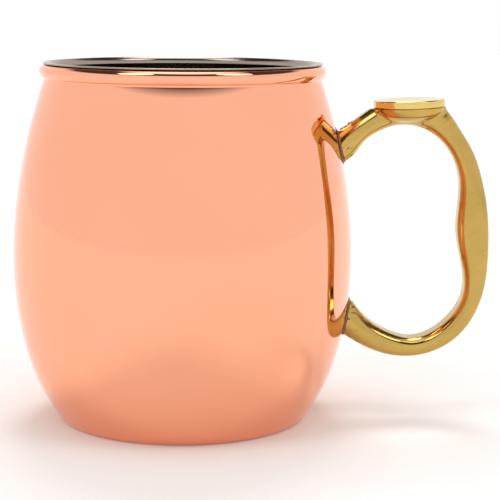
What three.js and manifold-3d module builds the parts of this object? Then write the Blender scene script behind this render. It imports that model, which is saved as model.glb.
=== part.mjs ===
// Barrel-shaped copper mug with a lining cup and a cast brass handle that carries a thumb rest.
// Millimetres, +Z up. The origin is the centre of the base on the barrel's axis; the handle points along +X.
import * as THREE from "three";
import Module from "manifold-3d";
import { mergeVertices } from "three/addons/utils/BufferGeometryUtils.js";

// Driving dimensions
const AROUND = 48; // facets round the barrel
const WALL_STEPS = 13; // facets up the barrel's wall
const GAP = 0.2; // clearance left between pieces that touch

const COPPER = 0.7; // sheet thickness of the spun barrel
const LINING = 0.4; // sheet thickness of the lining cup
const BARREL = [
  [33.7, 1.2],
  [35.7, 4],
  [37.8, 8],
  [39.9, 13],
  [42, 19],
  [43.9, 28],
  [44.9, 38],
  [45, 47],
  [44.4, 55],
  [42.9, 65],
  [41.2, 74],
  [39, 82],
  [37.4, 87],
  [36, 90],
]; // radius and height of the outer skin, base corner to neck

const ROLL = { r: 36.45, z: 92.1, wide: 1.15, high: 1.9 }; // centre and half sizes of the rolled edge
const ROLL_END = -100; // degrees round the roll where its lip tucks in under itself
const LIP_END = 70; // degrees round the roll where the lining's lip stops, just over the crest

const HANDLE_DEPTH = 9; // across the casting, along Y
const HANDLE_EDGE = 0.9; // rounding of its long edges
const ARM_TOP = [
  [36, 73.1],
  [50, 83.4],
  [53, 84.6],
  [66, 84.9],
]; // straight upper arm, then across the boss
const OUTER_LOOP = [
  [69, 82.9],
  [72.7, 78.1],
  [76.5, 71.9],
  [79.3, 64],
  [81, 54.4],
  [81.35, 44.5],
  [80.6, 35],
  [77.4, 26.5],
  [71.4, 20.2],
  [64.5, 17.2],
  [57.5, 16.7],
  [50.5, 18.4],
  [43.4, 22.3],
  [37, 26.5],
];
const INNER_LOOP = [
  [38, 35.5],
  [45.4, 31.1],
  [47.7, 28.4],
  [51.4, 25.1],
  [56.5, 22.5],
  [61.8, 21.5],
  [66.8, 23.2],
  [71, 26.6],
  [74.1, 31],
  [75.2, 36.5],
  [74.2, 43],
  [72.85, 51.5],
  [73.3, 59.5],
  [73, 65.3],
  [71, 70.8],
  [67.2, 75.4],
  [62.4, 78.1],
  [57.6, 78.8],
  [51.8, 77.1],
  [47.5, 74],
  [45.4, 71.1],
  [43.3, 69.2],
  [40.5, 68.2],
  [37, 68],
];

// Thumb rest: place of its seat, sizes, and tilt in degrees
const REST = { x: 59.6, z: 83.35, radius: 9.4, thick: 1.95, dish: 0.35, tilt: 2.2 };
const REST_UNDER = 0.35; // rounding of its lower edge
const REST_EDGE = 0.45; // rounding of its top edge
const REST_LAND = { inset: 1.3, drop: 0.05 }; // where the dish starts, in from the rim and below the top
const REST_FACETS = 36;
const BOSS_FACETS = 32;
const BOSS_STRETCH = 1.1; // the boss under the rest is longer along the handle than across it
const BOSS_SIDE = [
  [3.4, -4.3],
  [5.2, -4],
  [6.8, -3.2],
  [7.9, -2],
  [8.4, -0.9],
  [8.5, 0.6],
]; // radius and height under the rest

const JOINT = 0.5; // thickness of the brazed joints
const JOINT_FACETS = 28;
const JOINT_LAP = 0.1; // how far the filler runs out past the foot
const FEET = { upper: [68.3, 77.3], lower: [21.9, 31.4] }; // height range of each foot on the barrel

// Shared helpers
const wasm = await Module();
wasm.setup();

const vectors = (pairs) => pairs.map(([a, b]) => new THREE.Vector2(a, b));
const radians = THREE.MathUtils.degToRad;

/** Arc points round a centre, from one angle to another, in degrees. */
function arc(r, z, wide, high, from, to, steps) {
  return Array.from({ length: steps + 1 }, (_, i) => {
    const a = radians(from + ((to - from) * i) / steps);
    return new THREE.Vector2(r + wide * Math.cos(a), z + high * Math.sin(a));
  });
}

/** Turned solid about +Z from a closed profile of radius and height. */
function turned(profile, facets = AROUND) {
  const geometry = new THREE.LatheGeometry(profile, facets);
  geometry.rotateX(Math.PI / 2);
  return geometry;
}

/** three.js geometry as a manifold-3d solid. */
function solid(geometry) {
  const bare = geometry.clone();
  bare.deleteAttribute("normal");
  bare.deleteAttribute("uv");
  const merged = mergeVertices(bare, 1e-4);
  return new wasm.Manifold(
    new wasm.Mesh({
      numProp: 3,
      vertProperties: merged.attributes.position.array,
      triVerts: new Uint32Array(merged.index.array),
    }),
  );
}

/** manifold-3d solid as a three.js geometry. */
function geometryOf(body) {
  const made = body.getMesh();
  const geometry = new THREE.BufferGeometry();
  geometry.setAttribute("position", new THREE.BufferAttribute(made.vertProperties, 3));
  geometry.setIndex(new THREE.BufferAttribute(made.triVerts, 1));
  return geometry;
}

/** Line down inside the barrel's outer skin by `depth`: base centre, base corner, wall up to the neck. */
function wallLine(depth) {
  const wall = new THREE.SplineCurve(vectors(BARREL));
  const along = Array.from({ length: WALL_STEPS + 1 }, (_, i) => i / WALL_STEPS);
  const outward = (t) => new THREE.Vector2(wall.getTangent(t).y, -wall.getTangent(t).x);
  const start = outward(0);
  const corner = BARREL[0][1] / (1 + start.y); // touches both the ground and the wall
  const centre = BARREL[0][0] - corner * start.x;
  const turn = THREE.MathUtils.radToDeg(Math.atan2(start.y, start.x));
  return [
    new THREE.Vector2(0, depth),
    ...arc(centre, corner, corner - depth, corner - depth, -90, turn, 3).slice(0, -1),
    ...along.map((t) => wall.getPoint(t).addScaledVector(outward(t), -depth)),
  ];
}

/** Points on the rolled edge's section, grown or shrunk by `growth`. */
function roll(growth, from, to, steps) {
  return arc(ROLL.r, ROLL.z, ROLL.wide + growth, ROLL.high + growth, from, to, steps);
}

// The pieces
/** Spun barrel: flat base, bellied wall and an open rolled edge. */
function outerShell() {
  return turned([
    ...wallLine(0),
    ...roll(-COPPER, 180, ROLL_END, 6),
    ...roll(0, ROLL_END, 180, 8),
    ...wallLine(COPPER).reverse(),
  ]);
}

/** Lining cup that follows the barrel inside and laps over the crest of its rolled edge. */
function liningCup() {
  const outside = COPPER + GAP;
  return turned([
    ...wallLine(outside),
    ...roll(GAP, 180, LIP_END, 5),
    ...roll(GAP + LINING, LIP_END, 180, 5),
    ...wallLine(outside + LINING).reverse(),
  ]);
}

/** Everything inside the barrel's skin grown by `growth`, as a cutting tool. */
function barrelTool(growth) {
  const skin = wallLine(-growth);
  return solid(turned([...skin, new THREE.Vector2(0, skin.at(-1).y)], AROUND * 2));
}

/** Flat plate in the handle's plane, centred on y = 0, with rounded edges. */
function plate(outline, depth, edge) {
  const geometry = new THREE.ExtrudeGeometry(new THREE.Shape(outline), {
    depth: depth - 2 * edge,
    bevelThickness: edge,
    bevelSize: edge,
    bevelOffset: -edge,
    bevelSegments: 2,
    bevelEnabled: edge > 0,
  });
  geometry.rotateX(Math.PI / 2);
  geometry.translate(0, depth / 2 - edge, 0);
  return geometry;
}

/** Puts a piece built about the thumb rest's seat in its place on the handle. */
function onSeat(geometry) {
  geometry.rotateY(-radians(REST.tilt));
  geometry.translate(REST.x, 0, REST.z);
  return geometry;
}

/** Cast loop with its boss, cut to the barrel and to the seat of the thumb rest. */
function handle() {
  const outer = new THREE.SplineCurve(vectors(OUTER_LOOP)).getSpacedPoints(32);
  const inner = new THREE.SplineCurve(vectors(INNER_LOOP)).getSpacedPoints(38);
  const loop = plate([...vectors(ARM_TOP), ...outer, ...inner].reverse(), HANDLE_DEPTH, HANDLE_EDGE);
  const side = vectors(BOSS_SIDE);
  const profile = [new THREE.Vector2(0, side[0].y), ...side, new THREE.Vector2(0, side.at(-1).y)];
  const boss = turned(profile, BOSS_FACETS);
  boss.scale(BOSS_STRETCH, 1, 1);
  const above = new THREE.BoxGeometry(60, 30, 10);
  above.translate(0, 0, 5 - GAP);
  return geometryOf(
    solid(loop)
      .add(solid(onSeat(boss)))
      .subtract(solid(onSeat(above)))
      .subtract(barrelTool(JOINT + 2 * GAP)),
  );
}

/** Turned disc with a softened rim and a shallow dish for the thumb. */
function thumbRest() {
  const { radius, thick, dish } = REST;
  return onSeat(
    turned(
      [
        new THREE.Vector2(0, 0),
        new THREE.Vector2(radius - REST_UNDER, 0),
        ...arc(radius - REST_UNDER, REST_UNDER, REST_UNDER, REST_UNDER, -60, 0, 2),
        ...arc(radius - REST_EDGE, thick - REST_EDGE, REST_EDGE, REST_EDGE, 0, 90, 3),
        new THREE.Vector2(radius - REST_LAND.inset, thick - REST_LAND.drop),
        new THREE.Vector2(radius * 0.5, thick - dish * 0.8),
        new THREE.Vector2(0, thick - dish),
      ],
      REST_FACETS,
    ),
  );
}

/** Filler between one foot and the barrel: a thin saddle that follows the wall. */
function brazedJoint([low, high]) {
  const half = HANDLE_DEPTH / 2 + JOINT_LAP;
  const bottom = low - JOINT_LAP;
  const top = high + JOINT_LAP;
  const mid = (bottom + top) / 2;
  const pad = plate(arc(0, mid, half, (top - bottom) / 2, 0, 360, JOINT_FACETS).slice(0, -1), 60, 0);
  pad.rotateZ(Math.PI / 2);
  pad.translate(30, 0, 0);
  return geometryOf(
    solid(pad)
      .intersect(barrelTool(GAP + JOINT))
      .subtract(barrelTool(GAP)),
  );
}

const copper = () => new THREE.MeshStandardMaterial({ color: "#d98a68", roughness: 0.12, metalness: 1 });
const steel = () => new THREE.MeshStandardMaterial({ color: "#b9b4ac", roughness: 0.28, metalness: 1 });
const brass = () => new THREE.MeshStandardMaterial({ color: "#c9a355", roughness: 0.16, metalness: 1 });
const filler = () => new THREE.MeshStandardMaterial({ color: "#8a5646", roughness: 0.45, metalness: 0.8 });

const PIECES = {
  outer_shell: [outerShell(), copper()],
  lining_cup: [liningCup(), steel()],
  handle: [handle(), brass()],
  thumb_rest: [thumbRest(), brass()],
  upper_brazed_joint: [brazedJoint(FEET.upper), filler()],
  lower_brazed_joint: [brazedJoint(FEET.lower), filler()],
};

const mug = new THREE.Group();
mug.name = "barrel_mug";
for (const [name, [geometry, material]] of Object.entries(PIECES)) {
  const mesh = new THREE.Mesh(geometry, material);
  mesh.name = name;
  mug.add(mesh);
}

export default mug;
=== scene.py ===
"""Looks of a barrel-shaped copper mug with a cast brass handle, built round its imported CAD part.

Sizes in the classes are millimetres; meshes are written in metres, in the part's own frame: +Z up, the
origin in the middle of the base, the handle towards +X.
"""

import logging
import math
from dataclasses import dataclass
from enum import Enum

import bpy
import numpy as np
from mathutils import Matrix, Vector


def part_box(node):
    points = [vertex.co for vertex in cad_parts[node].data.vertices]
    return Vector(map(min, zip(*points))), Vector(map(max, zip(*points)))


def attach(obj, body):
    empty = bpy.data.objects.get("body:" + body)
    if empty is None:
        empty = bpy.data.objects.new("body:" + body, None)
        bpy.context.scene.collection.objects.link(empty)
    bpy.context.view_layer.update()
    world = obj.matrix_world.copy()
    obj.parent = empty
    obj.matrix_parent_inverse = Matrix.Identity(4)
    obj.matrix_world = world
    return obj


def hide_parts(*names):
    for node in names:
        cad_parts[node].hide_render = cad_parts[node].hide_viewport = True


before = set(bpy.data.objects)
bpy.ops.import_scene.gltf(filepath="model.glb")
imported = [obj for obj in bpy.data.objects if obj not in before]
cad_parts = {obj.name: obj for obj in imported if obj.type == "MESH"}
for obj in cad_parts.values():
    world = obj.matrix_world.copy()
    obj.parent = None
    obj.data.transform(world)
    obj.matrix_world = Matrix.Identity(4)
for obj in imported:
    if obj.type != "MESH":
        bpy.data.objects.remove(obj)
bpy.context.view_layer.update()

MM = 0.001
ROUND = 288  # steps round a turned piece
SMEAR = 9.0  # size of the smears that buffing leaves, mm
SOFTEN = (0.6, 0.6, 0.3, 0.0, 0.0)  # how much each pass evens a skin before it is set on its surface
log = logging.getLogger("mug")


class Slot(Enum):
    """Names of the material slots."""

    COPPER = "copper"
    STEEL = "steel"
    CAST_BRASS = "cast_brass"
    TURNED_BRASS = "turned_brass"
    FILLER = "braze_filler"


# ---------------------------------------------------------------- curves and fields


def smooth_line(points: list[tuple[float, float]], count: int) -> tuple[np.ndarray, np.ndarray]:
    """Natural cubic spline through points, which is curvature-continuous as spun or filed metal is.

    Args:
        points: (across, up) pairs in mm that the line passes through.
        count: how many evenly spaced points to return.

    Returns:
        The points of the line and its unit directions there, each of shape (count, 2).
    """
    knots = np.array(points, float)
    along = np.concatenate([[0.0], np.cumsum(np.hypot(*np.diff(knots, axis=0).T))])
    span = np.diff(along)
    n = len(knots)
    system = np.eye(n)
    right = np.zeros((n, 2))
    slope = np.diff(knots, axis=0) / span[:, None]
    for i in range(1, n - 1):
        system[i, i - 1 : i + 2] = span[i - 1], 2 * (span[i - 1] + span[i]), span[i]
        right[i] = 6 * (slope[i] - slope[i - 1])
    bend = np.linalg.solve(system, right)
    at = np.linspace(0, along[-1], count)
    i = np.clip(np.searchsorted(along, at, side="right") - 1, 0, n - 2)
    h = span[i][:, None]
    a = (along[i + 1] - at)[:, None] / h
    b = 1 - a
    line = a * knots[i] + b * knots[i + 1] + ((a**3 - a) * bend[i] + (b**3 - b) * bend[i + 1]) * h**2 / 6
    turn = (3 * b**2 - 1) * bend[i + 1] - (3 * a**2 - 1) * bend[i]
    heading = (knots[i + 1] - knots[i]) / h + turn * h / 6
    return line, heading / np.linalg.norm(heading, axis=1)[:, None]


def arc(
    centre: tuple[float, float], wide: float, high: float, start: float, stop: float, steps: int
) -> np.ndarray:
    """Points on an elliptical arc.

    Args:
        centre: its centre, in mm.
        wide: half its width, in mm.
        high: half its height, in mm.
        start: first angle in degrees.
        stop: last angle in degrees.
        steps: number of steps between them.

    Returns:
        Its points, of shape (steps + 1, 2).
    """
    turn = np.radians(np.linspace(start, stop, steps + 1))
    return np.column_stack([centre[0] + wide * np.cos(turn), centre[1] + high * np.sin(turn)])


class Outline:
    """Smooth signed distance, in mm, to a closed outline in a plane: negative inside it."""

    def __init__(self, points: np.ndarray, cell: float = 0.25, margin: float = 4.0) -> None:
        """Measures the distance on a grid round the outline.

        Args:
            points: the closed outline, of shape (n, 2).
            cell: grid spacing in mm.
            margin: how far the grid runs past the outline, in mm.
        """
        self.cell = cell
        self.low = points.min(0) - margin
        size = np.ceil((points.max(0) + margin - self.low) / cell).astype(int) + 1
        u = self.low[0] + cell * np.arange(size[0])
        v = self.low[1] + cell * np.arange(size[1])
        grid_u, grid_v = np.meshgrid(u, v, indexing="ij")
        nearest = np.full(grid_u.shape, np.inf)
        inside = np.zeros(grid_u.shape, bool)
        for (ax, ay), (bx, by) in zip(points, np.roll(points, -1, axis=0)):
            dx, dy = bx - ax, by - ay
            t = ((grid_u - ax) * dx + (grid_v - ay) * dy) / max(dx * dx + dy * dy, 1e-12)
            t = np.clip(t, 0, 1)
            nearest = np.minimum(nearest, (grid_u - ax - t * dx) ** 2 + (grid_v - ay - t * dy) ** 2)
            if ay != by:
                crosses = (grid_v < ay) != (grid_v < by)
                inside ^= crosses & (grid_u < ax + (grid_v - ay) * dx / dy)
        self.values = np.where(inside, -1, 1) * np.sqrt(nearest)

    def __call__(self, u: np.ndarray, v: np.ndarray) -> np.ndarray:
        """Distance at points (u, v), by a cubic B-spline over the grid, which softens corners."""
        shape = np.shape(u)
        nu, nv = self.values.shape
        pu = np.clip((np.ravel(u) - self.low[0]) / self.cell, 1, nu - 2.001)
        pv = np.clip((np.ravel(v) - self.low[1]) / self.cell, 1, nv - 2.001)
        iu, iv = np.floor(pu).astype(int), np.floor(pv).astype(int)
        iu, iv = np.minimum(iu, nu - 3), np.minimum(iv, nv - 3)
        weights = []
        for t in (pu - iu, pv - iv):
            weights.append([(1 - t) ** 3 / 6, (3 * t**3 - 6 * t**2 + 4) / 6])
            weights[-1] += [(-3 * t**3 + 3 * t**2 + 3 * t + 1) / 6, t**3 / 6]
        total = np.zeros(len(pu))
        for a in range(4):
            for b in range(4):
                total += weights[0][a] * weights[1][b] * self.values[iu + a - 1, iv + b - 1]
        return total.reshape(shape)


def meet(a: np.ndarray, b: np.ndarray, radius: float) -> np.ndarray:
    """What two solids share, with the edge between them rounded to a radius in mm."""
    corner = np.hypot(np.maximum(a + radius, 0), np.maximum(b + radius, 0))
    return np.minimum(-radius, np.maximum(a, b)) + corner


def join(a: np.ndarray, b: np.ndarray, radius: float) -> np.ndarray:
    """Two solids joined, with a fillet of a radius in mm between them."""
    return -meet(-a, -b, radius)


# ---------------------------------------------------------------- meshes


def as_piece(
    name: str, points: np.ndarray, faces: list | np.ndarray, normals: np.ndarray | None = None
) -> bpy.types.Object:
    """Makes a smooth-shaded mesh object from points in mm.

    Args:
        name: the piece's name.
        points: vertices in mm, of shape (n, 3).
        faces: vertex indices of each face.
        normals: exact normals at the vertices, if they are known.

    Returns:
        The new object, linked to the scene.
    """
    mesh = bpy.data.meshes.new(name)
    mesh.from_pydata((points * MM).tolist(), [], [list(map(int, f)) for f in faces])
    mesh.validate()
    mesh.shade_smooth()
    if normals is not None:
        mesh.normals_split_custom_set_from_vertices(normals.tolist())
    piece = bpy.data.objects.new(name, mesh)
    bpy.context.scene.collection.objects.link(piece)
    return piece


def turned(name: str, section: np.ndarray) -> bpy.types.Object:
    """Turns a section about +Z.

    Args:
        name: the piece's name.
        section: (radius, height) points in mm; it starts and ends on the axis.

    Returns:
        The closed turned piece.
    """
    turn = np.linspace(0, 2 * math.pi, ROUND, endpoint=False)
    ring = section[1:-1]
    radius, height = ring[:, :1], np.repeat(ring[:, 1:], ROUND, axis=1)
    points = np.stack([radius * np.cos(turn), radius * np.sin(turn), height], axis=-1).reshape(-1, 3)
    first, last = [0, 0, section[0][1]], [0, 0, section[-1][1]]
    points = np.vstack([points, first, last])
    step = np.arange(ROUND)
    after = (step + 1) % ROUND
    faces = []
    for i in range(len(ring) - 1):
        a, b = i * ROUND, (i + 1) * ROUND
        faces += np.column_stack([a + step, a + after, b + after, b + step]).tolist()
    start, stop = len(points) - 2, len(points) - 1
    end = (len(ring) - 1) * ROUND
    faces += [[start, int(after[i]), i] for i in range(ROUND)]
    faces += [[stop, end + i, end + int(after[i])] for i in range(ROUND)]
    return as_piece(name, points, faces)


class Solid:
    """A solid given as a function of place that is negative inside it, ready to be skinned."""

    def value(self, x: np.ndarray, y: np.ndarray, z: np.ndarray) -> np.ndarray:
        """Signed value at points in mm; sub-classes give their own."""
        raise NotImplementedError

    def slope(self, points: np.ndarray, reach: float = 0.02) -> np.ndarray:
        """Gradient of the value at points, by central differences over a reach in mm."""
        steps = np.eye(3) * reach
        return np.column_stack(
            [(self.value(*(points + s).T) - self.value(*(points - s).T)) / (2 * reach) for s in steps]
        )

    def skin(
        self, low: np.ndarray, high: np.ndarray, cell: float
    ) -> tuple[np.ndarray, np.ndarray, np.ndarray]:
        """Skins the solid with even quads laid on its true surface.

        Args:
            low: lowest corner of the space to search, in mm.
            high: highest corner.
            cell: size of the quads in mm.

        Returns:
            Vertices in mm, quads as vertex indices, and unit normals at the vertices.
        """
        axes = [np.arange(a, b + cell, cell) for a, b in zip(low, high)]
        field = self.value(*np.meshgrid(*axes, indexing="ij"))
        points, quads = skin_of(field, np.array([a[0] for a in axes]), cell)
        for soften in SOFTEN:
            points = points + soften * (neighbour_mean(points, quads) - points)
            slope = self.slope(points)
            reach = self.value(*points.T) / np.maximum((slope**2).sum(1), 0.05)
            points = points - np.clip(reach, -cell, cell)[:, None] * slope
        slope = self.slope(points)
        return points, quads, slope / np.maximum(np.linalg.norm(slope, axis=1), 1e-9)[:, None]


def neighbour_mean(points: np.ndarray, quads: np.ndarray) -> np.ndarray:
    """Mean of each vertex's neighbours along the edges of the quads."""
    total = np.zeros_like(points)
    count = np.zeros(len(points))
    for a, b in ((0, 1), (1, 2), (2, 3), (3, 0)):
        for i, j in ((quads[:, a], quads[:, b]), (quads[:, b], quads[:, a])):
            np.add.at(total, i, points[j])
            np.add.at(count, i, 1)
    return total / np.maximum(count, 1)[:, None]


def skin_of(field: np.ndarray, origin: np.ndarray, cell: float) -> tuple[np.ndarray, np.ndarray]:
    """Surface net of a field on a regular grid: one vertex in each cell that the surface crosses.

    Args:
        field: values at the grid's nodes, negative inside.
        origin: place of the first node.
        cell: spacing of the nodes.

    Returns:
        Vertices, and quads whose faces point out of the solid.
    """
    inside = field < 0
    size = np.array(field.shape) - 1
    total = np.zeros((*size, 3))
    count = np.zeros(size)
    for axis in range(3):
        others = [a for a in range(3) if a != axis]
        for corner in np.ndindex(2, 2):
            take = [slice(None)] * 3
            for other, shift in zip(others, corner):
                take[other] = slice(shift, shift + size[other])
            near, far = list(take), list(take)
            near[axis], far[axis] = slice(0, -1), slice(1, None)
            a, b = field[tuple(near)], field[tuple(far)]
            cut = inside[tuple(near)] != inside[tuple(far)]
            t = np.where(cut, a / np.where(cut, a - b, 1), 0)
            total[..., axis] += np.where(cut, t, 0)
            for other, shift in zip(others, corner):
                total[..., other] += np.where(cut, shift, 0)
            count += cut
    crossed = count > 0
    index = np.full(size, -1)
    index[crossed] = np.arange(crossed.sum())
    cells = np.argwhere(crossed)
    points = origin + cell * (cells + total[crossed] / count[crossed][:, None])
    quads = []
    for axis in range(3):
        u, v = (axis + 1) % 3, (axis + 2) % 3
        near, far = [slice(1, -1)] * 3, [slice(1, -1)] * 3
        near[axis], far[axis] = slice(0, -1), slice(1, None)
        for leaving in (True, False):
            cut = (inside[tuple(near)] == leaving) & (inside[tuple(far)] != leaving)
            at = np.argwhere(cut)
            at[:, u] += 1
            at[:, v] += 1
            ring = []
            for du, dv in ((-1, -1), (0, -1), (0, 0), (-1, 0)):
                around = at.copy()
                around[:, u] += du
                around[:, v] += dv
                ring.append(index[tuple(around.T)])
            quad = np.column_stack(ring)
            quads.append(quad if leaving else quad[:, ::-1])
    return points, np.vstack(quads)


# ---------------------------------------------------------------- finishes


def colour(code: str) -> tuple[float, float, float, float]:
    """sRGB hex code as linear RGBA."""
    parts = [int(code[i : i + 2], 16) / 255 for i in (1, 3, 5)]
    linear = [p / 12.92 if p <= 0.04045 else ((p + 0.055) / 1.055) ** 2.4 for p in parts]
    return (*linear, 1.0)


def per_mm(size: float) -> float:
    """Scale that gives a noise or wave pattern features of a size in mm."""
    return 1 / (size * MM)


def add(
    tree: bpy.types.NodeTree, kind: str, links: dict | None = None, **settings: object
) -> bpy.types.Node:
    """Adds a node with its settings and links.

    Args:
        tree: the node tree.
        kind: the node's type, such as ShaderNodeBump.
        links: input name or number to an output socket, or to a constant.
        settings: attributes of the node.

    Returns:
        The new node.
    """
    node = tree.nodes.new(kind)
    for key, value in settings.items():
        setattr(node, key, value)
    for key, value in (links or {}).items():
        if isinstance(value, bpy.types.NodeSocket):
            tree.links.new(value, node.inputs[key])
        else:
            node.inputs[key].default_value = value
    return node


def bare_material(name: str) -> tuple[bpy.types.Material, bpy.types.NodeTree]:
    """A new material and its empty node tree."""
    material = bpy.data.materials.new(name)
    material.use_nodes = True
    material.node_tree.nodes.clear()
    return material, material.node_tree


def set_ramp(ramp: bpy.types.Node, stops: list[tuple[float, tuple]]) -> None:
    """Sets a colour ramp's stops, given as (place, linear RGB)."""
    elements = ramp.color_ramp.elements
    while len(elements) > 1:
        elements.remove(elements[-1])
    for i, (place, level) in enumerate(stops):
        stop = elements[0] if i == 0 else elements.new(place)
        stop.position = place
        stop.color = (*level, 1)


@dataclass(frozen=True)
class PolishedMetal:
    """Metal brought to a gloss by a wheel: a tone that drifts a little, fine wheel marks and soft waves.

    The marks run round the mug's axis, or slant across the casting, so highlights stretch across them.
    """

    name: str
    slot: Slot
    tone: str  # sRGB colour of the clean metal
    shade: str  # sRGB colour where it is a little duller
    drift: float  # size of the patches of tone, mm
    roughness: tuple[float, float]  # least and most
    mark: tuple[float, float, float]  # width of a wheel mark along x, y and z, mm
    mark_depth: float  # mm
    wave: float  # size of the soft waves left by forming, mm
    wave_depth: float  # mm
    mark_turn: float = 0.0  # how far the marks are turned about Y, degrees
    mark_tone: float = 0.0  # how much of the tone follows the marks, where tarnish stays in them

    def made(self) -> bpy.types.Material:
        """Builds the material."""
        material, tree = bare_material(self.name)
        place = add(tree, "ShaderNodeTexCoord").outputs["Object"]
        drift = add(tree, "ShaderNodeTexNoise", {"Vector": place, "Scale": per_mm(self.drift), "Detail": 3.0})
        turned_place = add(
            tree,
            "ShaderNodeMapping",
            {"Vector": place, "Rotation": (0, math.radians(self.mark_turn), 0)},
        )
        stretched = add(
            tree,
            "ShaderNodeMapping",
            {
                "Vector": turned_place.outputs["Vector"],
                "Scale": tuple(per_mm(m) for m in self.mark),
            },
        )
        marks = add(
            tree,
            "ShaderNodeTexNoise",
            {"Vector": stretched.outputs["Vector"], "Scale": 1.0, "Detail": 4.0, "Roughness": 0.6},
        )
        tarnish = add(
            tree,
            "ShaderNodeMapRange",
            {"Value": marks.outputs["Fac"], "From Min": 0.36, "From Max": 0.64},
        )
        share = add(
            tree,
            "ShaderNodeMix",
            {0: self.mark_tone, 2: drift.outputs["Fac"], 3: tarnish.outputs["Result"]},
            data_type="FLOAT",
        )
        tone = add(
            tree,
            "ShaderNodeMix",
            {0: share.outputs[0], 6: colour(self.tone), 7: colour(self.shade)},
            data_type="RGBA",
        )
        smear = add(tree, "ShaderNodeTexNoise", {"Vector": place, "Scale": per_mm(SMEAR), "Detail": 4.0})
        both = add(
            tree,
            "ShaderNodeMath",
            {0: smear.outputs["Fac"], 1: marks.outputs["Fac"]},
            operation="MULTIPLY",
        )
        rough = add(
            tree,
            "ShaderNodeMapRange",
            {
                "Value": both.outputs[0],
                "From Min": 0.12,
                "From Max": 0.4,
                "To Min": self.roughness[0],
                "To Max": self.roughness[1],
            },
        )
        waves = add(tree, "ShaderNodeTexNoise", {"Vector": place, "Scale": per_mm(self.wave), "Detail": 1.0})
        swell = add(
            tree,
            "ShaderNodeBump",
            {"Height": waves.outputs["Fac"], "Strength": 1.0, "Distance": self.wave_depth * MM},
        )
        grain = add(
            tree,
            "ShaderNodeBump",
            {
                "Height": marks.outputs["Fac"],
                "Strength": 1.0,
                "Distance": self.mark_depth * MM,
                "Normal": swell.outputs["Normal"],
            },
        )
        shader = add(
            tree,
            "ShaderNodeBsdfPrincipled",
            {
                "Base Color": tone.outputs[2],
                "Metallic": 1.0,
                "Roughness": rough.outputs["Result"],
                "Normal": grain.outputs["Normal"],
            },
        )
        add(tree, "ShaderNodeOutputMaterial", {"Surface": shader.outputs["BSDF"]})
        return material


# Spun copper sheet taken to a mirror on a felt wheel: a clear warm reflection, only just softened.
MIRROR_COPPER = PolishedMetal(
    "spun_copper_mirror",
    Slot.COPPER,
    tone="#ffb594",
    shade="#fbae8b",
    drift=38,
    roughness=(0.035, 0.075),
    mark=(30, 30, 0.5),
    mark_depth=0.0002,
    wave=26,
    wave_depth=0.004,
)

# Spun stainless sheet left satin inside the cup: greyer, with the spinning marks still showing.
SATIN_STEEL = PolishedMetal(
    "spun_steel_satin",
    Slot.STEEL,
    tone="#a89c90",
    shade="#94887c",
    drift=24,
    roughness=(0.12, 0.22),
    mark=(26, 26, 0.5),
    mark_depth=0.0006,
    wave=20,
    wave_depth=0.003,
    mark_tone=0.5,
)

# Sand-cast brass, belt ground and buffed: bright, with soft hollows that bend its reflections and slanted
# belt marks. A real belt leaves marks of about 0.1 mm; these are drawn coarser so that they show.
BUFFED_BRASS = PolishedMetal(
    "cast_brass_buffed",
    Slot.CAST_BRASS,
    tone="#dcb869",
    shade="#a98a45",
    drift=16,
    roughness=(0.08, 0.24),
    mark=(5, 5, 0.28),
    mark_depth=0.005,
    wave=11,
    wave_depth=0.02,
    mark_turn=35,
    mark_tone=0.12,
)

# Brass disc turned in a lathe and buffed.
TURNED_BRASS = PolishedMetal(
    "brass_turned",
    Slot.TURNED_BRASS,
    tone="#ecd084",
    shade="#e0bf6c",
    drift=9,
    roughness=(0.06, 0.12),
    mark=(8, 8, 0.25),
    mark_depth=0.0005,
    wave=14,
    wave_depth=0.008,
)


@dataclass(frozen=True)
class BrazedFiller:
    """Filler metal run into the joint by a torch and left as it froze: dull, purple-brown with heat."""

    name: str = "brazed_filler"
    slot: Slot = Slot.FILLER
    stain: str = "#6e3f3a"
    metal: str = "#b98662"
    patch: float = 1.6  # size of the stains, mm
    lump: float = 0.8  # size of the frozen ripples, mm
    lump_depth: float = 0.06  # mm

    def made(self) -> bpy.types.Material:
        """Builds the material."""
        material, tree = bare_material(self.name)
        place = add(tree, "ShaderNodeTexCoord").outputs["Object"]
        patch = add(tree, "ShaderNodeTexNoise", {"Vector": place, "Scale": per_mm(self.patch), "Detail": 5.0})
        tone = add(
            tree,
            "ShaderNodeMix",
            {0: patch.outputs["Fac"], 6: colour(self.stain), 7: colour(self.metal)},
            data_type="RGBA",
        )
        lumps = add(tree, "ShaderNodeTexNoise", {"Vector": place, "Scale": per_mm(self.lump), "Detail": 3.0})
        skin = add(
            tree,
            "ShaderNodeBump",
            {"Height": lumps.outputs["Fac"], "Strength": 0.8, "Distance": self.lump_depth * MM},
        )
        shader = add(
            tree,
            "ShaderNodeBsdfPrincipled",
            {
                "Base Color": tone.outputs[2],
                "Metallic": 1.0,
                "Roughness": 0.36,
                "Normal": skin.outputs["Normal"],
            },
        )
        add(tree, "ShaderNodeOutputMaterial", {"Surface": shader.outputs["BSDF"]})
        return material


def dress(piece: bpy.types.Object, finish: PolishedMetal | BrazedFiller, node: str) -> None:
    """Gives a piece its finish and sets it in place of its CAD node.

    Args:
        piece: the finished mesh.
        finish: its finish.
        node: the CAD node that it stands for.
    """
    material = bpy.data.materials.get(finish.name) or finish.made()
    piece.data.materials.append(material)
    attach(piece, "root")
    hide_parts(node)
    log.info("%s: %d faces in %s", piece.name, len(piece.data.polygons), finish.name)


# ---------------------------------------------------------------- the mug's pieces


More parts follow.
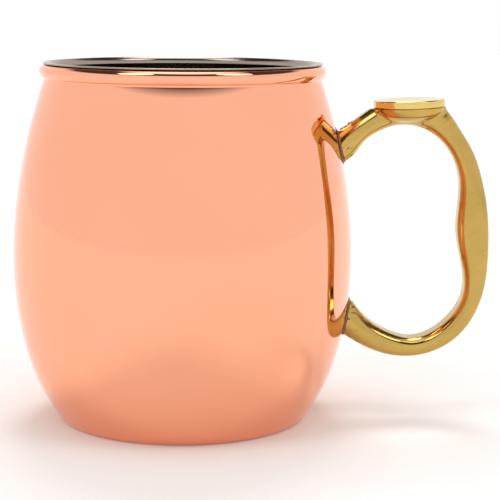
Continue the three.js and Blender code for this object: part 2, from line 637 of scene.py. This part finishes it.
@dataclass
class Barrel:
    """The spun barrel's shape, shared by the copper shell, the lining and the fit of the handle."""

    wall: tuple = (
        (33.8, 1.2),
        (37.85, 8),
        (42.2, 20),
        (44.6, 34),
        (44.95, 46),
        (43.8, 60),
        (40.9, 75),
        (38.1, 85),
        (36.95, 88.6),
        (36.2, 90.6),
    )  # radius and height of the outer skin, base corner to the groove under the roll
    sheet: float = 0.7
    lining: float = 0.35
    gap: float = 0.05
    crest_drop: float = 1.5  # how far below the crest the mouth starts to turn out
    throat: float = 34.75  # radius of the copper's inner face at the mouth
    roll: tuple = (
        (36.2, 90.55),
        (36.5, 90.5),
        (37.05, 90.9),
        (37.45, 91.6),
        (37.6, 92.3),
        (37.45, 92.98),
        (37.04, 93.58),
        (36.4, 94.02),
        (35.7, 94.2),
    )  # radius and height along the outside of the roll, from its tucked edge up to the crest
    tuck: float = 90.4  # height at which the turned edge meets the wall again
    neck: float = 89.5  # height at which the inner wall starts to close in to the mouth
    lip_over: float = 0.8  # how far the lining's lip laps out over the crest

    def __post_init__(self) -> None:
        """Works out the wall and its outward normals once."""
        self.line, heading = smooth_line(list(self.wall), 150)
        self.out = np.column_stack([heading[:, 1], -heading[:, 0]])

    def inward(self, depth: float) -> np.ndarray:
        """Line a depth in mm inside the outer skin: base centre, base corner and wall."""
        nx, nz = self.out[0]
        corner = self.line[0][1] / (1 + nz)
        centre = (self.line[0][0] - corner * nx, corner)
        turn = math.degrees(math.atan2(nz, nx))
        foot = arc(centre, corner - depth, corner - depth, -90, turn, 10)[:-1]
        flat = np.column_stack([np.linspace(0, centre[0], 12)[:-1], np.full(11, depth)])
        return np.vstack([flat, foot, self.line - depth * self.out])

    def mouth(self, growth: float) -> np.ndarray:
        """Quarter turn from the copper's inner face up to the crest, grown by a distance in mm."""
        crest_r, crest_z = self.roll[-1]
        wide, high = crest_r - self.throat + growth, self.crest_drop + growth
        return arc((crest_r, crest_z - self.crest_drop), wide, high, 180, 90, 16)

    def skin(self, z: np.ndarray) -> np.ndarray:
        """Radius of the outer skin at heights in mm."""
        return np.interp(z, self.line[:, 1], self.line[:, 0])

    def clearance(self, x: np.ndarray, y: np.ndarray, z: np.ndarray) -> np.ndarray:
        """How far points stand off the outer skin, in mm."""
        lean = np.interp(z, self.line[:, 1], self.out[:, 0])
        return (np.hypot(x, y) - self.skin(z)) * lean

    def build(self) -> None:
        """Builds and dresses the copper shell and the lining cup."""
        sheet, deep = self.sheet, self.sheet + self.gap
        outer, inner = self.inward(0), self.inward(sheet)
        roll = smooth_line(list(self.roll), 70)[0]
        shell = np.vstack(
            [
                outer[outer[:, 1] < self.tuck],
                roll,
                self.mouth(0)[::-1][1:],
                inner[inner[:, 1] < self.neck][::-1],
            ]
        )
        dress(turned("copper_shell", shell), MIRROR_COPPER, "outer_shell")
        thick = self.lining
        lip_r, lip_z = self.roll[-1][0] + self.lip_over, self.roll[-1][1] + self.gap
        tip = arc((lip_r, lip_z + thick / 2 - 0.03), thick / 2, thick / 2, -90, 90, 8)
        outer, inner = self.inward(deep), self.inward(deep + thick)
        cup = np.vstack(
            [
                outer[outer[:, 1] < self.neck],
                self.mouth(self.gap),
                tip,
                self.mouth(self.gap + thick)[::-1],
                inner[inner[:, 1] < self.neck][::-1],
            ]
        )
        dress(turned("steel_lining", cup), SATIN_STEEL, "lining_cup")


@dataclass
class ThumbRest:
    """Turned disc on the boss, with a softened rim and a slight dish."""

    x: float = 59.6
    z: float = 83.35
    radius: float = 9.4
    thick: float = 1.95
    dish: float = 0.35
    soft: float = 0.4  # rounding of the top edge
    soft_under: float = 0.3  # rounding of the lower edge
    tilt: float = 2.2  # degrees, rising away from the barrel

    def seat(self) -> Matrix:
        """Place of the disc's underside, in mm."""
        return Matrix.Translation((self.x, 0, self.z)) @ Matrix.Rotation(-math.radians(self.tilt), 4, "Y")

    def local(self, x: np.ndarray, z: np.ndarray) -> tuple[np.ndarray, np.ndarray]:
        """Points in the handle's plane as (along the seat, above the seat), in mm."""
        lean = math.radians(self.tilt)
        dx, dz = x - self.x, z - self.z
        return dx * math.cos(lean) + dz * math.sin(lean), dz * math.cos(lean) - dx * math.sin(lean)

    def build(self) -> None:
        """Builds and dresses the disc."""
        r, t, s, u = self.radius, self.thick, self.soft, self.soft_under
        across = np.linspace(r - s, 0, 30)[1:]
        section = np.vstack(
            [
                np.column_stack([np.linspace(0, r - u, 12)[:-1], np.zeros(11)]),
                arc((r - u, u), u, u, -90, 0, 6),
                arc((r - s, t - s), s, s, 0, 90, 8),
                np.column_stack([across, t - self.dish * (1 - (across / (r - s)) ** 2) ** 1.5]),
            ]
        )
        piece = turned("thumb_rest_disc", section)
        seat = self.seat()
        seat.translation = seat.translation * MM
        piece.data.transform(seat)
        dress(piece, TURNED_BRASS, "thumb_rest")


@dataclass
class Handle(Solid):
    """One brass casting: straight upper arm, loop, lower arm and the bowl-shaped boss under the rest."""

    barrel: Barrel
    rest: ThumbRest
    arm_top: tuple = ((30, 68.6), (36, 73.1), (50, 83.4), (53, 84.6), (66, 84.9))
    outside: tuple = (
        (66, 84.9),
        (69, 82.9),
        (72.7, 78.1),
        (76.5, 71.9),
        (79.3, 64),
        (81, 54.4),
        (81.3, 44.5),
        (80.4, 35),
        (77.2, 26.5),
        (71.4, 20.2),
        (64.5, 17.2),
        (57.5, 16.75),
        (50.5, 18.4),
        (43.4, 22.3),
        (37, 26.5),
        (30, 31.5),
    )
    inside: tuple = (
        (30, 40.3),
        (38, 35.5),
        (45.4, 31.1),
        (47.7, 28.4),
        (51.4, 25.1),
        (56.5, 22.5),
        (61.8, 21.5),
        (66.8, 23.2),
        (71, 26.6),
        (74.1, 31),
        (75.2, 36.5),
        (74.2, 43),
        (72.85, 51.5),
        (73.3, 59.5),
        (73, 65.3),
        (71, 70.8),
        (67.2, 75.4),
        (62.4, 78.1),
        (57.6, 78.8),
        (51.8, 77.1),
        (47.5, 74),
        (45.4, 71.1),
        (43.3, 69.2),
        (40.5, 68.2),
        (37, 68),
        (30, 67.4),
    )
    boss_wide: float = 8.5  # radius of the bowl under the rest
    boss_deep: float = 4.35
    boss_full: float = 2.6  # how full the bowl's side is; 2 is an ellipse
    boss_long: float = 1.1  # the bowl is this much longer along the handle than across it
    depth: float = 9.0  # across the casting
    crown: float = 0.9  # how much the sides swell in the middle of their width
    soft_out: float = 1.4  # rounding of the outer edges
    shoulder_deep: float = 2.3  # rounding of the outer edges over the arm and shoulder, along Y
    shoulder_wide: float = 6.0  # and in the plane of the loop
    shoulder: tuple[float, float] = (50.0, 70.0)  # heights over which that rounding comes in
    soft_in: float = 1.9  # rounding of the inner edges
    fillet: float = 0.7  # between the arms and the boss
    seat_gap: float = 0.05  # between the casting and the rest
    soft_seat: float = 0.25  # rounding of the edge round the seat
    soft_foot: float = 0.15  # rounding of the feet where they meet the filler
    swell_over: float = 6.0  # width over which the sides swell
    cell: float = 0.32  # spacing of the grid that it is skinned on
    stand_off: float = 0.35  # gap to the barrel, which the filler takes up

    def __post_init__(self) -> None:
        """Measures the two outlines of the loop."""
        outer = smooth_line(list(self.outside), 500)[0]
        inner = smooth_line(list(self.inside), 560)[0]
        self.outer = Outline(np.vstack([np.array(self.arm_top), outer[1:]]))
        self.inner = Outline(inner)

    def boss(self, x: np.ndarray, y: np.ndarray, z: np.ndarray) -> np.ndarray:
        """Signed distance to the bowl under the rest, in mm."""
        along, up = self.rest.local(x, z)
        wide = np.hypot(along / self.boss_long, y) / self.boss_wide
        deep = np.maximum(0.3 - up, 0) / self.boss_deep
        power = self.boss_full
        full = (wide**power + deep**power + 1e-9) ** (1 / power)
        return (full - 1) * self.boss_deep * (0.35 + 0.65 * wide * self.boss_wide / self.boss_deep / full)

    def whole(self, x: np.ndarray, y: np.ndarray, z: np.ndarray) -> np.ndarray:
        """Signed distance to the casting before it is cut to the barrel and the seat."""
        outer = self.outer(x, z)
        inner = -self.inner(x, z)
        across = np.clip((outer - inner) / self.swell_over, -1, 1)
        side = np.abs(y) - self.depth / 2 + self.crown * across**2
        low, high = self.shoulder
        rise = np.clip((z - low) / (high - low), 0, 1)
        rise = rise * rise * (3 - 2 * rise)
        soft = self.soft_out + (self.shoulder_deep - self.soft_out) * rise
        flat = 1 + (self.shoulder_deep / self.shoulder_wide - 1) * rise
        loop = meet(meet(outer * flat, side, soft), inner, self.soft_in)
        return join(loop, self.boss(x, y, z), self.fillet)

    def value(self, x: np.ndarray, y: np.ndarray, z: np.ndarray) -> np.ndarray:
        """Signed distance to the finished casting, in mm."""
        above = self.rest.local(x, z)[1] + self.seat_gap
        clear = self.stand_off - self.barrel.clearance(x, y, z)
        return meet(meet(self.whole(x, y, z), above, self.soft_seat), clear, self.soft_foot)

    def build(self) -> None:
        """Skins and dresses the casting."""
        low, high = (np.array(corner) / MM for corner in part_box("handle"))
        points, quads, normals = self.skin(low - 1.5, high + 1.5, self.cell)
        dress(as_piece("handle_casting", points, quads, normals), BUFFED_BRASS, "handle")


@dataclass
class BrazedJoint(Solid):
    """Filler drawn between a foot of the handle and the barrel, with a small hollow fillet round it."""

    handle: Handle
    node: str
    fillet: float = 0.85
    clear: float = 0.015  # hairline left to the metals it joins
    ripple: float = 0.08  # height of the uneven edge
    cell: float = 0.14  # spacing of the grid that it is skinned on

    def value(self, x: np.ndarray, y: np.ndarray, z: np.ndarray) -> np.ndarray:
        """Signed distance to the filler, in mm."""
        off = self.handle.barrel.clearance(x, y, z)
        foot = self.handle.whole(x, y, z)
        uneven = self.ripple * np.sin(1.9 * y + 1.3 * z) * np.sin(2.7 * z - 0.8 * y)
        run = join(foot - uneven, off, self.fillet)
        beyond = np.maximum(self.clear - off, self.clear - self.handle.value(x, y, z))
        return np.maximum(run, beyond)

    def build(self) -> None:
        """Skins and dresses the filler."""
        low, high = (np.array(corner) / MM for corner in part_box(self.node))
        points, quads, normals = self.skin(low - 2.0, high + 2.0, self.cell)
        dress(as_piece(f"{self.node}_filler", points, quads, normals), BrazedFiller(), self.node)


# ---------------------------------------------------------------- the studio


@dataclass
class Studio:
    """Pale floor, soft surround, two soft lights in front, one behind, and the camera."""

    floor_size: float = 5.0  # metres
    floor_tone: str = "#fbfaf8"
    glow: float = 0.05  # light given by the floor itself, as a light table does
    surround: float = 1.0
    ceiling: float = 0.06
    overhead: float = 2.0
    lamp_away: float = 6.0  # metres
    lamp_wide: float = 2.4  # metres
    front_power: float = 42.0  # watts
    back_power: float = 92.0  # watts
    camera_at: tuple = (17.9, -408.2, 112.3)
    look_down: float = 9.4  # degrees
    roll: float = 0.45  # degrees
    lens: float = 111.24  # mm

    def floor(self) -> None:
        """Lays the floor."""
        half = self.floor_size / 2
        corners = np.array([(-half, -half, 0), (half, -half, 0), (half, half, 0), (-half, half, 0)]) / MM
        plane = as_piece("floor", corners, [[0, 1, 2, 3]])
        material = bpy.data.materials.new("floor_white")
        material.use_nodes = True
        tree = material.node_tree
        shader = tree.nodes["Principled BSDF"]
        shader.inputs["Base Color"].default_value = colour(self.floor_tone)
        shader.inputs["Roughness"].default_value = 0.9
        shader.inputs["Specular IOR Level"].default_value = 0.0
        shader.inputs["Emission Color"].default_value = (1, 1, 1, 1)
        shader.inputs["Emission Strength"].default_value = self.glow
        plane.data.materials.append(material)

    def surroundings(self) -> None:
        """Sets white walls, a dim ceiling and soft light overhead, the same all the way round."""
        world = bpy.data.worlds.new("studio")
        bpy.context.scene.world = world
        world.use_nodes = True
        tree = world.node_tree
        tree.nodes.clear()
        ray = add(tree, "ShaderNodeTexCoord").outputs["Generated"]
        height = add(tree, "ShaderNodeSeparateXYZ", {"Vector": ray}).outputs["Z"]
        ramp = add(tree, "ShaderNodeValToRGB", {"Fac": height})
        stops = [
            (0.0, self.surround),
            (0.54, self.surround),
            (0.64, self.ceiling),
            (0.88, self.ceiling),
            (0.97, self.overhead),
        ]
        set_ramp(ramp, [(place, (level, level, level)) for place, level in stops])
        light = add(tree, "ShaderNodeBackground", {"Color": ramp.outputs["Color"], "Strength": 1.0})
        add(tree, "ShaderNodeOutputWorld", {"Surface": light.outputs["Background"]})

    def lamp(self, name: str, azimuth: float, elevation: float, power: float) -> None:
        """Hangs a soft light that faces the mug.

        Args:
            name: its name.
            azimuth: degrees round from the front, positive towards the handle.
            elevation: degrees above the floor.
            power: watts.
        """
        data = bpy.data.lights.new(name, "AREA")
        data.shape = "DISK"
        data.size = self.lamp_wide
        data.energy = power
        light = bpy.data.objects.new(name, data)
        bpy.context.scene.collection.objects.link(light)
        a, e = math.radians(azimuth), math.radians(elevation)
        way = np.array([math.sin(a) * math.cos(e), -math.cos(a) * math.cos(e), math.sin(e)])
        at = Matrix.Translation(tuple(way * self.lamp_away))
        turn = Matrix.Rotation(a, 4, "Z") @ Matrix.Rotation(math.pi / 2 - e, 4, "X")
        light.matrix_world = at @ turn

    def camera(self) -> None:
        """Sets up the camera."""
        data = bpy.data.cameras.new("camera")
        data.lens = self.lens
        data.clip_end = 200
        camera = bpy.data.objects.new("camera", data)
        bpy.context.scene.collection.objects.link(camera)
        pitch = Matrix.Rotation(math.radians(90 - self.look_down), 4, "X")
        roll = Matrix.Rotation(math.radians(self.roll), 4, "Z")
        camera.matrix_world = Matrix.Translation(tuple(np.array(self.camera_at) * MM)) @ pitch @ roll
        bpy.context.scene.camera = camera

    def build(self) -> None:
        """Builds the whole studio."""
        self.floor()
        self.surroundings()
        self.lamp("left_light", -50, 54, self.front_power)
        self.lamp("right_light", 60, 54, self.front_power)
        self.lamp("back_light", 180, 60, self.back_power)
        self.camera()
        bpy.context.scene.view_settings.view_transform = "Standard"


def main() -> None:
    """Builds the mug and its studio."""
    logging.basicConfig(level=logging.INFO, format="%(message)s")
    barrel = Barrel()
    rest = ThumbRest()
    handle = Handle(barrel, rest)
    barrel.build()
    rest.build()
    handle.build()
    for node in ("upper_brazed_joint", "lower_brazed_joint"):
        BrazedJoint(handle, node).build()
    Studio().build()
    bpy.context.view_layer.update()


if __name__ == "__main__":
    main()
